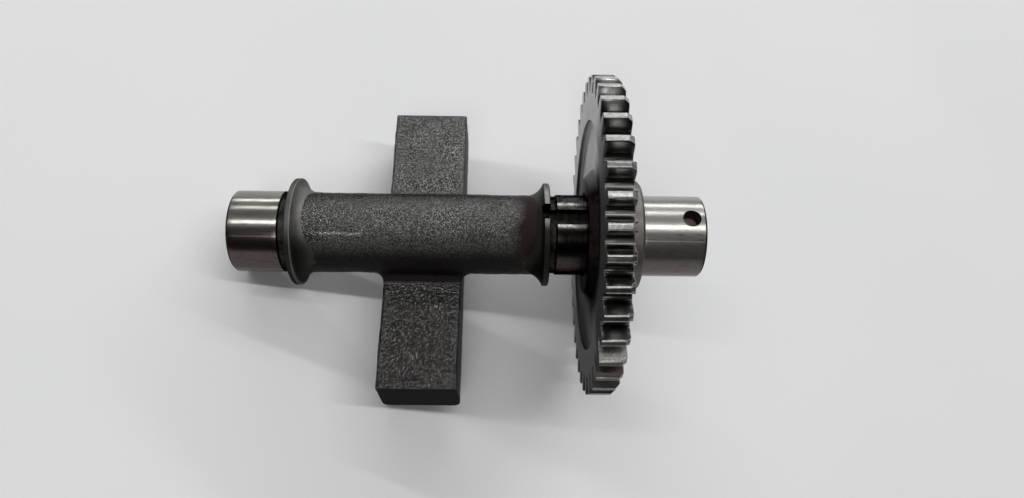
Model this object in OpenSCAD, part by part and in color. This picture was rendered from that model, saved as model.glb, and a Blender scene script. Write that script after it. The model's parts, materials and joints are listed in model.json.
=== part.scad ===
// Balance shaft of a small engine: a cast shaft with a counterweight bar across it,
// ground journals at both ends, and a spur gear keyed on its seat.
// It lies as it comes to rest: on the edge of the left journal and on two gear teeth.
// Lengths are in millimetres. The origin is on the floor under the middle of the shaft,
// +X runs along the shaft towards the gear and +Z points up.

/* [Journals] */
// Diameter of both journals
journal_d = 20; // [18:0.1:22]
// Length of the plain left journal
left_journal_len = 11.9; // [8:0.1:20]
// Length of the right journal beyond the gear hub
right_journal_len = 15.5; // [10:0.1:24]
// Chamfer at both ends of the shaft
end_chamfer = 0.5; // [0.3:0.1:1]
// Length of the grinding relief between the left journal and its flange
relief_len = 2.6; // [1.5:0.1:4]
// Depth of the reliefs below the journals
relief_depth = 0.4; // [0.2:0.1:0.8]

/* [Flanges] */
// Distance between the outer faces of the two flanges
flange_span = 62.3; // [58:0.1:70]
// Diameter of the left flange
left_flange_d = 26.4; // [25:0.1:28]
// Diameter of the right flange
right_flange_d = 25.6; // [25:0.1:28]
// Width of the cylindrical land on each flange
flange_land = 1.4; // [1:0.1:2.5]
// Edge break on the flange lands
flange_break = 0.25; // [0.1:0.05:0.4]
// Radius of the turned hollow from a flange down to the cast body
flare_r = 4.7; // [4.2:0.1:6]

/* [Cast body] */
// Width of the cast body across the shaft
body_w = 19.2; // [18.4:0.1:20]
// Height of the cast body in the counterweight's direction
body_h = 20.9; // [20:0.1:22]

/* [Counterweight] */
// Length of the bar across the shaft
bar_len = 76.8; // [60:0.1:90]
// Width of the bar at its upper face
bar_w = 19.1; // [15:0.1:22]
// Thickness of the bar
bar_t = 16.1; // [12:0.1:18]
// Drop of the bar's upper face below the shaft axis
bar_drop = 4.3; // [3:0.1:6]
// Draft of the bar's sides, as the widening on each side at half its thickness
bar_draft = 0.35; // [0.1:0.05:0.6]
// Radius of the bar's lower long edges
bar_edge_r = 2.5; // [1:0.1:4]
// Radius of the cast fillets between the bar and the body
bar_fillet = 2.6; // [1.5:0.1:3.2]

/* [Gear seat and keyway] */
// Length of the relief between the right flange and the gear seat
neck_len = 1.8; // [1:0.1:3]
// Length of the relief between the gear seat and the right journal, inside the hub
hub_relief_len = 1.5; // [1:0.1:2]
// Distance from the right flange to the gear's rim
gear_offset = 9.5; // [7:0.1:12]
// Width of the key and of its keyways
key_w = 4; // [3:0.1:5]
// Height of the key
key_h = 4; // [3.5:0.1:5]
// Length of the key
key_len = 10; // [6:0.1:12]
// Depth of the shaft's keyway below the seat
keyway_depth = 2.5; // [2:0.1:3]
// Run-out of the keyway into the right flange
keyway_runout = 2; // [0.5:0.1:3]
// Clearance around the key and in the gear's bore
fit_clearance = 0.01; // [0.005:0.005:0.05]

/* [Oil hole] */
// Diameter of the radial oil hole
oil_hole_d = 4.4; // [3:0.1:6]
// Distance from the right end to the middle of the oil hole
oil_hole_setback = 3.6; // [3.4:0.1:6]
// Depth of the oil hole below the journal's surface
oil_hole_depth = 4.5; // [3:0.1:8]

/* [Drive gear] */
// Number of teeth
teeth = 38; // [36:2:40]
// Tip diameter
gear_tip_d = 78.7; // [77.5:0.1:81]
// Height of the teeth above the pitch circle
tooth_addendum = 1.35; // [1:0.05:2]
// Depth of the gaps between the teeth
tooth_depth = 4.65; // [4.2:0.05:5]
// Height of the round root between two teeth
root_height = 1; // [0.8:0.1:1.4]
// Thickness of a tooth on the pitch circle
tooth_t = 2.45; // [2.2:0.05:2.9]
// Pressure angle of the teeth
pressure_angle = 20; // [18:0.5:22]
// Width of the rim
rim_w = 6.35; // [5:0.05:9]
// Chamfer of the tooth tips on the outer side
tip_chamfer = 1.25; // [0.5:0.05:1.8]
// Outer diameter of the turned recess in the inner face
recess_d = 57; // [50:0.5:60]
// Depth of the recess
recess_depth = 1.4; // [0.8:0.1:2]
// Diameter of the inner boss at its end face
boss_d = 28.4; // [27:0.1:30]
// Diameter of the inner boss at the recess floor
boss_foot_d = 32.8; // [31:0.1:36]
// Stand of the inner boss beyond the rim
boss_stand = 0.7; // [0.3:0.1:2]
// Diameter of the outer hub
hub_d = 27.4; // [26:0.1:32]
// Length of the outer hub beyond the rim
hub_len = 6.25; // [3:0.05:9]
// Edge break of the hub and chamfer of the bore
hub_break = 0.6; // [0.3:0.1:0.9]
// Fillet at the foot of the outer hub
hub_fillet = 1; // [0.5:0.1:2]

/* [Hidden] */
$fn = 96;
// Overlap of joined shapes and overrun of cutters
lap = 1;

journal_r = journal_d / 2;
relief_r = journal_r - relief_depth;
bore_r = journal_r + fit_clearance;

// Places along the shaft, from its left end
left_flange_x = left_journal_len + relief_len;
right_flange_x = left_flange_x + flange_span;
seat_x = right_flange_x + neck_len;
gear_x = right_flange_x + gear_offset;
hub_end_x = gear_x + rim_w + hub_len;
seat_end_x = hub_end_x - hub_relief_len;
shaft_len = hub_end_x + right_journal_len;
bar_x = left_flange_x + flange_span / 2;

// The cast body is two round halves set apart in height
body_r = body_w / 2;
body_rise = (body_h - body_w) / 2;

// Turned hollows: the circle passes the land's inner edge and meets the body's width
flare_axis_r = body_r + flare_r;
function flare_reach(flange_r) = sqrt(flare_r ^ 2 - (flare_axis_r - flange_r) ^ 2);
left_flare_x = left_flange_x + flange_land + flare_reach(left_flange_d / 2);
right_flare_x = right_flange_x - flange_land - flare_reach(right_flange_d / 2);

// The straight fillet touches the bar's upper face and the body's lower round half
fillet_z = bar_fillet - bar_drop;
fillet_y = sqrt((body_r + bar_fillet) ^ 2 - (fillet_z + body_rise) ^ 2);

// Gear teeth with involute flanks and flat tips
gear_tip_r = gear_tip_d / 2;
gear_root_r = gear_tip_r - tooth_depth;
pitch_r = gear_tip_r - tooth_addendum;
base_r = pitch_r * cos(pressure_angle);
tooth_pitch_angle = 360 / teeth;
flank_steps = 5;
function involute(a) = tan(a) * 180 / PI - a;
function half_tooth_angle(r) = tooth_t / pitch_r * 90 / PI
    + involute(pressure_angle) - involute(acos(base_r / r));
function half_gap_angle(r) = tooth_pitch_angle / 2 - half_tooth_angle(r);
function polar(r, a) = [r * cos(a), r * sin(a)];
// The tips are the sides of a prism whose corners lie in the gaps
gear_blank_r = gear_tip_r / cos(tooth_pitch_angle / 2);
tip_corner_r = gear_tip_r / cos(half_tooth_angle(gear_tip_r));
// The round root touches the root circle and runs through the lower ends of the gap's walls
form_r = max(base_r, gear_root_r + root_height);
form_x = form_r * cos(half_gap_angle(form_r));
root_axis_r = (form_r ^ 2 - gear_root_r ^ 2) / (2 * (form_x - gear_root_r));

// Key and keyways
keyway_floor = journal_r - keyway_depth;
key_x = gear_x - boss_stand + (hub_end_x - gear_x + boss_stand - key_len) / 2;
keyway_start_x = right_flange_x - keyway_runout;
keyway_end_x = key_x + key_len + fit_clearance;
keyway_w = key_w + 2 * fit_clearance;

// Rest: the left journal's edge and the inner ends of the two lowest teeth lie on the floor
low_corner_angle = tooth_pitch_angle / 2 - half_tooth_angle(tip_corner_r);
gear_drop = tip_corner_r * cos(low_corner_angle);
rest_tilt = atan((gear_drop - journal_r) / (gear_x - end_chamfer));
rest_height = (shaft_len / 2 - end_chamfer) * sin(rest_tilt) + journal_r * cos(rest_tilt);

// Lays what is built along the shaft axis down on the floor
module at_rest() {
    translate([0, 0, rest_height])
        rotate([0, -rest_tilt, 0])
            translate([-shaft_len / 2, 0, 0])
                children();
}

// Turns an outline of radius and length about the shaft axis
module turned() {
    rotate([0, 90, 0])
        rotate_extrude()
            children();
}

// Extrudes an outline of height and breadth along the shaft, from x over len
module along_shaft(x, len) {
    translate([x, 0, 0])
        rotate([90, 0, 90])
            linear_extrude(len)
                children();
}

// Outline of the turned shaft, with the two hollows beside the flanges
module shaft_outline() {
    left_r = left_flange_d / 2;
    right_r = right_flange_d / 2;
    difference() {
        polygon([
            [0, 0],
            [journal_r - end_chamfer, 0],
            [journal_r, end_chamfer],
            [journal_r, left_journal_len],
            [relief_r, left_journal_len + relief_depth],
            [relief_r, left_flange_x],
            [left_r - flange_break, left_flange_x],
            [left_r, left_flange_x + flange_break],
            [left_r, left_flare_x],
            [body_r, left_flare_x],
            [body_r, right_flare_x],
            [right_r, right_flare_x],
            [right_r, right_flange_x - flange_break],
            [right_r - flange_break, right_flange_x],
            [relief_r, right_flange_x],
            [relief_r, seat_x - relief_depth],
            [journal_r, seat_x],
            [journal_r, seat_end_x],
            [relief_r, seat_end_x + relief_depth],
            [relief_r, hub_end_x - relief_depth],
            [journal_r, hub_end_x],
            [journal_r, shaft_len - end_chamfer],
            [journal_r - end_chamfer, shaft_len],
            [0, shaft_len]
        ]);
        translate([flare_axis_r, left_flare_x])
            circle(flare_r);
        translate([flare_axis_r, right_flare_x])
            circle(flare_r);
    }
}

// Section of the cast body across the shaft
module body_section() {
    translate([0, body_rise])
        circle(body_r);
    translate([0, -body_rise])
        circle(body_r);
    translate([-body_r, -body_rise])
        square([body_w, 2 * body_rise]);
}

// Section of the counterweight bar: drafted sides and round lower edges
module bar_section() {
    mid_w = bar_w + 2 * bar_draft;
    mid_z = -bar_drop - bar_t / 2;
    low_z = -bar_drop - bar_t;
    polygon([
        [-bar_w / 2, -bar_drop],
        [bar_w / 2, -bar_drop],
        [mid_w / 2, mid_z],
        [mid_w / 2, low_z + bar_edge_r],
        [mid_w / 2 - bar_edge_r, low_z],
        [-mid_w / 2 + bar_edge_r, low_z],
        [-mid_w / 2, low_z + bar_edge_r],
        [-mid_w / 2, mid_z]
    ]);
    for (side = [-1, 1])
        translate([side * (mid_w / 2 - bar_edge_r), low_z + bar_edge_r])
            circle(bar_edge_r);
}

// Counterweight bar across the shaft, with flat ground ends
module bar() {
    translate([bar_x, bar_len / 2, 0])
        rotate([90, 0, 0])
            linear_extrude(bar_len)
                bar_section();
}

// Fillets between the bar's upper face and both sides of the body
module upper_fillets() {
    along_shaft(bar_x - bar_w / 2, bar_w)
        for (side = [0, 1])
            mirror([side, 0])
                difference() {
                    polygon([
                        [0, -bar_drop - lap],
                        [fillet_y, -bar_drop - lap],
                        [fillet_y, fillet_z],
                        [0, -body_rise]
                    ]);
                    translate([fillet_y, fillet_z])
                        circle(bar_fillet);
                }
}

// Fillets around the body where it comes out of the bar's sides
module side_fillets() {
    side_w = bar_w / 2 + bar_draft;
    intersection() {
        translate([bar_x, 0, -body_rise])
            turned()
                difference() {
                    translate([0, -side_w - bar_fillet])
                        square([body_r + bar_fillet, 2 * (side_w + bar_fillet)]);
                    for (side = [-1, 1])
                        translate([body_r + bar_fillet, side * (side_w + bar_fillet)])
                            circle(bar_fillet);
                }
        translate([bar_x - bar_w, -bar_len / 2, -bar_drop - bar_t])
            cube([2 * bar_w, bar_len, bar_t]);
    }
}

// One casting: journals, flanges and seat turned, body and bar left rough
module balance_shaft() {
    color("dimgray")
        at_rest()
            difference() {
                union() {
                    turned()
                        shaft_outline();
                    along_shaft(left_flange_x + flange_land, flange_span - 2 * flange_land)
                        body_section();
                    bar();
                    upper_fillets();
                    side_fillets();
                }
                keyway();
                oil_hole();
            }
}

// Keyway along the top of the seat, running out through the right flange
module keyway() {
    translate([keyway_start_x, -keyway_w / 2, keyway_floor])
        cube([keyway_end_x - keyway_start_x, keyway_w, right_flange_d]);
}

// Radial oil hole in the top of the right journal
module oil_hole() {
    translate([shaft_len - oil_hole_setback, 0, journal_r - oil_hole_depth])
        cylinder(h = oil_hole_depth + lap, d = oil_hole_d);
}

// Outline of the gear blank, with the recess, the boss, the hub and the bore
module gear_outline() {
    web_x = gear_x + recess_depth;
    rim_end_x = gear_x + rim_w;
    boss_x = gear_x - boss_stand;
    hub_r = hub_d / 2;
    difference() {
        polygon([
            [bore_r, boss_x + hub_break],
            [bore_r + hub_break, boss_x],
            [boss_d / 2, boss_x],
            [boss_foot_d / 2, web_x],
            [recess_d / 2 - recess_depth, web_x],
            [recess_d / 2 - recess_depth, gear_x],
            [gear_blank_r, gear_x],
            [gear_blank_r, rim_end_x - tip_chamfer + gear_tip_r - gear_blank_r],
            [gear_tip_r - tip_chamfer, rim_end_x],
            [hub_r + hub_fillet, rim_end_x],
            [hub_r + hub_fillet, rim_end_x + hub_fillet],
            [hub_r, rim_end_x + hub_fillet],
            [hub_r, hub_end_x - hub_break],
            [hub_r - hub_break, hub_end_x],
            [bore_r + hub_break, hub_end_x],
            [bore_r, hub_end_x - hub_break]
        ]);
        translate([recess_d / 2 - recess_depth, gear_x])
            circle(recess_depth);
        translate([hub_r + hub_fillet, rim_end_x + hub_fillet])
            circle(hub_fillet);
    }
}

// Gap between two teeth: involute walls and a round root
module tooth_gap() {
    over_r = gear_tip_r + lap;
    radii = [for (i = [0 : flank_steps]) form_r + (over_r - form_r) * i / flank_steps];
    one_wall = [for (r = radii) polar(r, half_gap_angle(r))];
    other_wall = [for (i = [flank_steps : -1 : 0]) polar(radii[i], -half_gap_angle(radii[i]))];
    polygon(concat(one_wall, other_wall));
    translate([root_axis_r, 0])
        circle(root_axis_r - gear_root_r);
}

// Prism with one flat side for the tip of each tooth
module tip_flats() {
    translate([gear_x - boss_stand - lap, 0, 0])
        rotate([0, 90, 0])
            linear_extrude(boss_stand + rim_w + hub_len + 2 * lap)
                polygon([for (i = [0 : teeth - 1]) polar(gear_blank_r, i * tooth_pitch_angle)]);
}

// Spur gear with a gap between teeth in line with the key
module drive_gear() {
    color("gray")
        at_rest()
            difference() {
                intersection() {
                    turned()
                        gear_outline();
                    tip_flats();
                }
                for (i = [0 : teeth - 1])
                    rotate([i * tooth_pitch_angle, 0, 0])
                        translate([gear_x - lap, 0, 0])
                            rotate([0, 90, 0])
                                linear_extrude(rim_w + 2 * lap)
                                    tooth_gap();
                translate([gear_x - boss_stand - lap, -keyway_w / 2, 0])
                    cube([shaft_len, keyway_w, keyway_floor + key_h + fit_clearance]);
            }
}

// Parallel key between the shaft and the gear's hub
module gear_key() {
    color("silver")
        at_rest()
            translate([key_x, -key_w / 2, keyway_floor])
                cube([key_len, key_w, key_h]);
}

balance_shaft();
drive_gear();
gear_key();
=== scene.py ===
"""Looks of a cast balance shaft with a keyed spur gear, lying on a pale floor.

Shapes are made in millimetres along the shaft: x from its left end, y across it along the
counterweight bar, z towards the keyway. TO_WORLD lays them down where the CAD part lies.
"""
import json
import math

import bpy
import numpy as np
from mathutils import Matrix, Vector, noise


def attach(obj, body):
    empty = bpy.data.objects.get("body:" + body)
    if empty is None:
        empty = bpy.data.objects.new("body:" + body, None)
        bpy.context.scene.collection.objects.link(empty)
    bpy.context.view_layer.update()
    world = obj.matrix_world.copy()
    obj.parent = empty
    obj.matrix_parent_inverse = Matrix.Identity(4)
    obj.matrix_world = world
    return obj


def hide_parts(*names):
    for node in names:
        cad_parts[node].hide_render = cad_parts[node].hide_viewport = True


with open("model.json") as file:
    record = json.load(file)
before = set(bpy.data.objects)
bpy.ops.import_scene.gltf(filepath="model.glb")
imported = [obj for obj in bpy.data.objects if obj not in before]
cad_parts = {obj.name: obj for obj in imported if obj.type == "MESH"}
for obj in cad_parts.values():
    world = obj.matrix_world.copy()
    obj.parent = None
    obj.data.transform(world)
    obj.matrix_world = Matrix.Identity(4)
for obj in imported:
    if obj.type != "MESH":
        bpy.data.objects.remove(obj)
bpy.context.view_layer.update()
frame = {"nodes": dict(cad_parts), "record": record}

MM = 0.001

# Sizes along and across the shaft
SHAFT_LEN = 114.4
JOURNAL_R = 10.0
RELIEF_R = 9.6
END_CHAMFER = 0.5
LEFT_JOURNAL_END = 11.9
LEFT_FLANGE = 14.5
RIGHT_FLANGE = 76.8
LEFT_FLANGE_R = 13.2
RIGHT_FLANGE_R = 12.8
LAND = 1.4  # width of a flange's rim
FLARE_R = 4.7  # radius of the hollows behind the flanges
BODY_R = 9.6  # where the hollows run out on the body
BODY_UPPER_R = 9.68
BODY_CROWN_R = 8.5
BODY_CROWN_Z = 2.0
BODY_LEAN = 0.1  # the upper part lies this far across
BODY_LOWER_R = 9.72
BODY_LOWER_Z = -0.6
SEAT = 78.6  # where the gear's seat starts
SEAT_END = 97.4
HUB_END = 98.9
RELIEF_STEP = 0.4  # length of the slopes into the reliefs
FLANGE_CHAMFER = 0.25
GLINT_LINE_Y = -4.8  # painted highlight: a bright ragged line of glints along the body's near side

# The turned part runs on under the cast skin and narrows to a core that the skin covers
SKIN_LAP = 1.2
SKIN_DIP = 0.3
CORE_LAP = 2.0
CORE_R = 8.4

# Counterweight bar and cast skin
BAR_X = 45.65
BAR_W = 19.1
BAR_T = 16.1
BAR_TOP = -4.3  # height of its upper face above the axis
BAR_LEN = 76.8
BAR_DRAFT = 0.25
BAR_LOW_EDGE = 2.5
BAR_TOP_EDGE = 0.45
BAR_END_EDGE = 0.2
CAST_FILLET = 2.6
CAST_TOP_FILLET = 1.3
FILLET_SPREAD = 2.0  # the fillet changes over this width at the bar's sides
CAST_INSET = 0.5  # the cast body ends this far behind the rims
START_INSET = 2.0  # its first, plain rod ends this far inside the flanges' outer faces
BAR_END_ZONE = 0.6  # depth of the bar's ends that stays smooth
BAR_END_FACING = 0.55  # skin that faces the ends by less is roughened in full
BAR_END_BLEND = 0.3
BAR_END_DEPTH = 0.12  # depth of the ends' own material

# Waves of the cast skin: height, pace along the skin, and a shift that keeps them apart
SKIN_WAVES = (
    (0.09, 0.11, (0, 0, 0)),
    (0.07, 0.42, (7, 1, 3)),
    (0.08, 0.95, (2, 9, 4)),
)

# Keyway and oil hole
KEYWAY_W = 4.02
KEYWAY_FLOOR = 7.5
KEYWAY_START = 74.8
KEYWAY_END = 97.26
KEYWAY_OPEN = 16.0  # top of the cut, above the flange
KEY_TOP = 11.51  # top of the hub's own keyway
OIL_HOLE_X = 110.8
OIL_HOLE_R = 2.2
OIL_HOLE_FLOOR = 5.5
BRIGHT_LINE_ANGLE = -33.4  # degrees from the keyway's side towards the far side, of the thin bright line along the journals

# Gear
TEETH = 38
TIP_R = 39.35
ROOT_R = 34.7
PITCH_R = 38.0
TOOTH_T = 2.45  # tooth thickness on the pitch circle
ROOT_HEIGHT = 1.6  # height of the round root below the involute
PRESSURE = math.radians(20)
GEAR_X = 86.3
RIM_END = 92.65
TIP_CHAMFER = 1.25
TIP_EDGE = 0.22  # broken edge along the tips
RECESS_R = 28.5
RECESS_DEPTH = 1.4
BOSS_X = 85.6
BOSS_R = 14.2
BOSS_FOOT_R = 16.4
HUB_R = 13.7
HUB_BREAK = 0.6
HUB_FILLET = 1.0
BORE_R = 10.03
BORE_LAND = 0.8  # how far inside its chamfers the bore's profile starts
EDGE = 0.13  # broken edge at the ends of the teeth
EDGE_ROUND = 0.3  # depth of a broken edge's middle below both faces, as a share of its width

# Fineness of the meshes
CAST_VOXEL = 0.46
CAST_PASSES = 4
LEAST_SLOPE = 0.2  # keeps a pass from overshooting where the field is flat
SHAFT_TURNS = 192
SHAFT_STEP = 1.6  # longest step of the shaft's profile
BODY_TURNS = 96
HOLE_TURNS = 64
GEAR_STEP = 3.0  # longest step of the gear's profile
ROOT_POINTS = 7
FLANK_POINTS = 8
CHAMFER_STEPS = 6
WALL_STEPS = 8
SHARP_ANGLE = 32  # degrees between faces that meet in a sharp edge

# Floor and lights, in metres
FLOOR_HALF = 3.0
LIGHT_DISTANCE = 1.1

# Surroundings: Y of the directions where they are darkest and brightest, and how bright they are
SKY_NEAR = -0.55
SKY_FAR = 0.4
SKY_NEAR_LEVEL = 0.04
SKY_FAR_LEVEL = 0.24

# Camera, in the shaft's own frame, with its clip distances in metres
EYE = Vector((64.79, -85.25, 172.25))
LOOK_RIGHT = Vector((0.9998, 0.0045, 0.0201))
LOOK_DOWN = Vector((0.0127, -0.9046, -0.4262))
LOOK_FORWARD = Vector((0.0163, 0.4263, -0.9044))
FOCAL_PX = 769
IMAGE_PX = 1024
SENSOR_MM = 36
CLIP_START = 0.005
CLIP_END = 20

# Surfaces of the shaft and of the gear, in the order of their materials
CAST, GROUND, TURNED, WORN, CUT, END, HOLE = range(7)
SIDE, FLANK, TIP, HUB, BORE, BOSS, RIM = range(7)


def shaft_to_world():
    """Matrix from the shaft's own millimetres to the row frame, read off the right journal's mount."""
    mounts = {m["name"]: m for m in frame["record"]["mounts"]}
    axis = Vector(mounts["right_journal"]["axis"]).normalized()
    point = Vector(mounts["right_journal"]["pos_m"])
    middle = point - axis * (point.x / axis.x)
    across = Vector((0, 1, 0))
    turn = Matrix((axis, across, axis.cross(across))).transposed().to_4x4()
    left_end = middle - axis * (SHAFT_LEN / 2 * MM)
    return Matrix.Translation(left_end) @ turn @ Matrix.Scale(MM, 4)


TO_WORLD = shaft_to_world()
TURN = TO_WORLD.to_3x3() * (1 / MM)


# Node materials

class Look:
    """A node material built step by step; sockets and plain values can both be given as inputs."""

    def __init__(self, name):
        self.mat = bpy.data.materials.new(name)
        self.mat.use_nodes = True
        self.tree = self.mat.node_tree
        self.tree.nodes.clear()
        self.bsdf = self.tree.nodes.new("ShaderNodeBsdfPrincipled")
        out = self.tree.nodes.new("ShaderNodeOutputMaterial")
        self.tree.links.new(self.bsdf.outputs["BSDF"], out.inputs["Surface"])

    def put(self, socket, value):
        """Link an input to a socket, or set the input's own value."""
        if isinstance(value, bpy.types.NodeSocket):
            self.tree.links.new(value, socket)
        else:
            socket.default_value = value

    def node(self, kind, settings=None, **inputs):
        """A new node; an underscore in an input's name stands for a space."""
        made = self.tree.nodes.new(kind)
        for key, value in (settings or {}).items():
            setattr(made, key, value)
        for key, value in inputs.items():
            self.put(made.inputs[key.replace("_", " ")], value)
        return made

    def surface(self, **inputs):
        """Set or link inputs of the surface shader."""
        for key, value in inputs.items():
            self.put(self.bsdf.inputs[key.replace("_", " ")], value)

    def place(self):
        """Millimetres along the shaft, across it and towards the keyway."""
        return self.node("ShaderNodeAttribute", {"attribute_name": "shaft_co"}).outputs["Vector"]

    def split(self, vector):
        made = self.node("ShaderNodeSeparateXYZ", Vector=vector)
        return made.outputs["X"], made.outputs["Y"], made.outputs["Z"]

    def joined(self, x, y=0.0, z=0.0):
        return self.node("ShaderNodeCombineXYZ", X=x, Y=y, Z=z).outputs["Vector"]

    def scaled(self, vector, factors):
        made = self.node("ShaderNodeVectorMath", {"operation": "MULTIPLY"})
        self.put(made.inputs[0], vector)
        made.inputs[1].default_value = factors
        return made.outputs["Vector"]

    def noise(self, vector, scale, detail, rough):
        inputs = {"Vector": vector, "Scale": scale, "Detail": detail, "Roughness": rough}
        return self.node("ShaderNodeTexNoise", **inputs).outputs["Fac"]

    def math(self, operation, a, b=0.0):
        made = self.node("ShaderNodeMath", {"operation": operation})
        self.put(made.inputs[0], a)
        self.put(made.inputs[1], b)
        return made.outputs["Value"]

    def times(self, value, *factors):
        """Product of all the given values."""
        for factor in factors:
            value = self.math("MULTIPLY", value, factor)
        return value

    def plus(self, a, b):
        return self.math("ADD", a, b)

    def minus(self, a, b):
        return self.math("SUBTRACT", a, b)

    def largest(self, value, *others):
        for other in others:
            value = self.math("MAXIMUM", value, other)
        return value

    def varied(self, start, pattern, amount):
        """A start value plus a pattern times an amount."""
        return self.plus(start, self.times(pattern, amount))

    def off(self, value, centre):
        """How far a value lies from a centre, on either side."""
        return self.math("ABSOLUTE", self.minus(value, centre))

    def radius(self, y, z):
        """Distance from the shaft's axis."""
        return self.math("SQRT", self.plus(self.times(y, y), self.times(z, z)))

    def between(self, value, low, high, to_low=0.0, to_high=1.0):
        """Smooth step from to_low, where the value is at low, to to_high, where it is at high."""
        made = self.node("ShaderNodeMapRange", {"interpolation_type": "SMOOTHSTEP"}, Value=value)
        limits = {"From Min": low, "From Max": high, "To Min": to_low, "To Max": to_high}
        for key, number in limits.items():
            self.put(made.inputs[key], number)
        return made.outputs["Result"]

    def mix(self, share, a, b):
        """Colour a with a share of colour b over it."""
        made = self.node("ShaderNodeMix", {"data_type": "RGBA"})
        self.put(made.inputs["Factor"], share)
        self.put(made.inputs[6], a)
        self.put(made.inputs[7], b)
        return made.outputs[2]

    def tones(self, pattern, low, high, a, b):
        """Colour a where a pattern is at low and colour b where it is at high."""
        return self.mix(self.between(pattern, low, high), a, b)

    def bump(self, height, distance, strength):
        """Normal of a relief whose height is a distance in millimetres."""
        inputs = {"Height": height, "Distance": distance * MM, "Strength": strength}
        return self.node("ShaderNodeBump", **inputs).outputs["Normal"]


def grey(level, warm=0.0):
    """A nearly neutral colour, a little warmer or cooler."""
    return (level * (1 + 0.5 * warm), level * (1 + 0.25 * warm), level * (1 - 0.75 * warm), 1.0)


# Brown and black films of oil, darks of painted shade, and other colours that are not plain grey
OIL_AND_SHADE_DARK = (0.009, 0.007, 0.007, 1.0)
SKIN_SOAK = (0.027, 0.019, 0.0185, 1.0)
JOURNAL_NEAR_SHADE = (0.07, 0.05, 0.046, 1.0)
SEAT_NEAR_SHADE = (0.042, 0.035, 0.032, 1.0)
HOLE_DARK = (0.17, 0.115, 0.1, 1.0)
HOLE_LIGHT = (0.26, 0.18, 0.155, 1.0)
SIDE_NEAR_SHADE = (0.022, 0.016, 0.016, 1.0)
SIDE_SOAK_AND_SHADE = (0.012, 0.009, 0.009, 1.0)
BOSS_DARK = (0.012, 0.0085, 0.0088, 1.0)
BOSS_LIGHT = (0.03, 0.021, 0.021, 1.0)
FLANK_FILM = (0.035, 0.027, 0.025, 1.0)
HUB_FILM = (0.12, 0.09, 0.085, 1.0)
FLOOR_DARK = (0.84, 0.845, 0.855, 1.0)
FLOOR_LIGHT = (0.87, 0.87, 0.875, 1.0)


def cast_look():
    """Dark cast skin with a fine glinting grain, painted shade and painted glints on the near arm and under
    the body, soaked with oil next to the gear.
    """
    look = Look("cast_skin")
    at = look.place()
    x, y, z = look.split(at)
    grain = look.noise(at, 2.4, 1.5, 0.5)
    fine = look.noise(at, 5.5, 1.0, 0.5)
    patches = look.noise(at, 0.11, 3.0, 0.6)
    base = look.tones(grain, 0.4, 0.6, grey(0.062, 0.05), grey(0.16, 0.05))
    base = look.mix(look.between(patches, 0.38, 0.7, 0.0, 0.35), base, grey(0.065, 0.06))

    # Near arm of the bar: painted shade, darker, with painted highlights as slanted glints that fade
    # towards its end
    slanted = look.joined(look.varied(x, y, -0.5), look.times(y, 0.4), z)
    strokes = look.noise(slanted, 3.7, 1.0, 0.5)
    glint = look.tones(y, -19.0, -13.0, grey(0.125, 0.05), grey(0.21, 0.05))
    shaded = look.tones(grain, 0.4, 0.62, grey(0.016, 0.06), grey(0.05, 0.06))
    shaded = look.tones(strokes, 0.5, 0.68, shaded, glint)
    near_arm = look.between(y, -11.0, -13.0)
    base = look.mix(near_arm, base, shaded)

    # Painted highlight: a bright ragged line of glints along the body's near side
    ragged = look.plus(y, look.minus(fine, 0.5))
    glint_line = look.times(
        look.between(look.off(ragged, GLINT_LINE_Y), 0.4, 0.1),
        look.between(z, 0.0, 1.0),
        look.between(x, 21.5, 23.5),
        look.between(x, 34.0, 31.0),
        0.7,
    )
    base = look.mix(glint_line, base, grey(0.4, 0.08))

    # Painted shade under the body and in the fillet where it meets the bar, and oil next to the gear; both
    # darken the skin and take away some of its metal
    below = look.times(look.between(y, -6.0, -9.0), look.between(look.radius(y, z), 12.9, 11.8))
    waver = look.times(look.minus(patches, 0.5), 8.0)
    soaked = look.between(look.plus(x, waver), 66.0, 70.8)
    oil = look.largest(soaked, below)
    base = look.mix(look.times(below, 0.92), base, OIL_AND_SHADE_DARK)
    base = look.mix(look.times(soaked, 0.95), base, SKIN_SOAK)

    rough = look.varied(look.varied(0.15, fine, 0.16), oil, 0.27)
    metal = look.varied(1.0, oil, -0.92)
    strength = look.times(
        look.between(oil, 0.0, 1.0, 1.0, 0.3),
        look.between(near_arm, 0.0, 1.0, 1.0, 0.75),
    )
    normal = look.bump(look.varied(grain, fine, 0.15), 0.36, strength)
    look.surface(Base_Color=base, Metallic=metal, Roughness=rough, Normal=normal)
    look.surface(Specular_Tint=grey(0.25), Specular_IOR_Level=0.06)
    return look.mat


def end_look():
    """Bar ends: smooth and blackish."""
    look = Look("bar_end")
    film = look.noise(look.place(), 0.7, 3.0, 0.6)
    base = look.tones(film, 0.3, 0.7, grey(0.005, 0.06), grey(0.009, 0.06))
    look.surface(Base_Color=base, Roughness=0.6, Normal=look.bump(film, 0.1, 0.4))
    look.surface(Specular_IOR_Level=0.02)
    return look.mat


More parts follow.
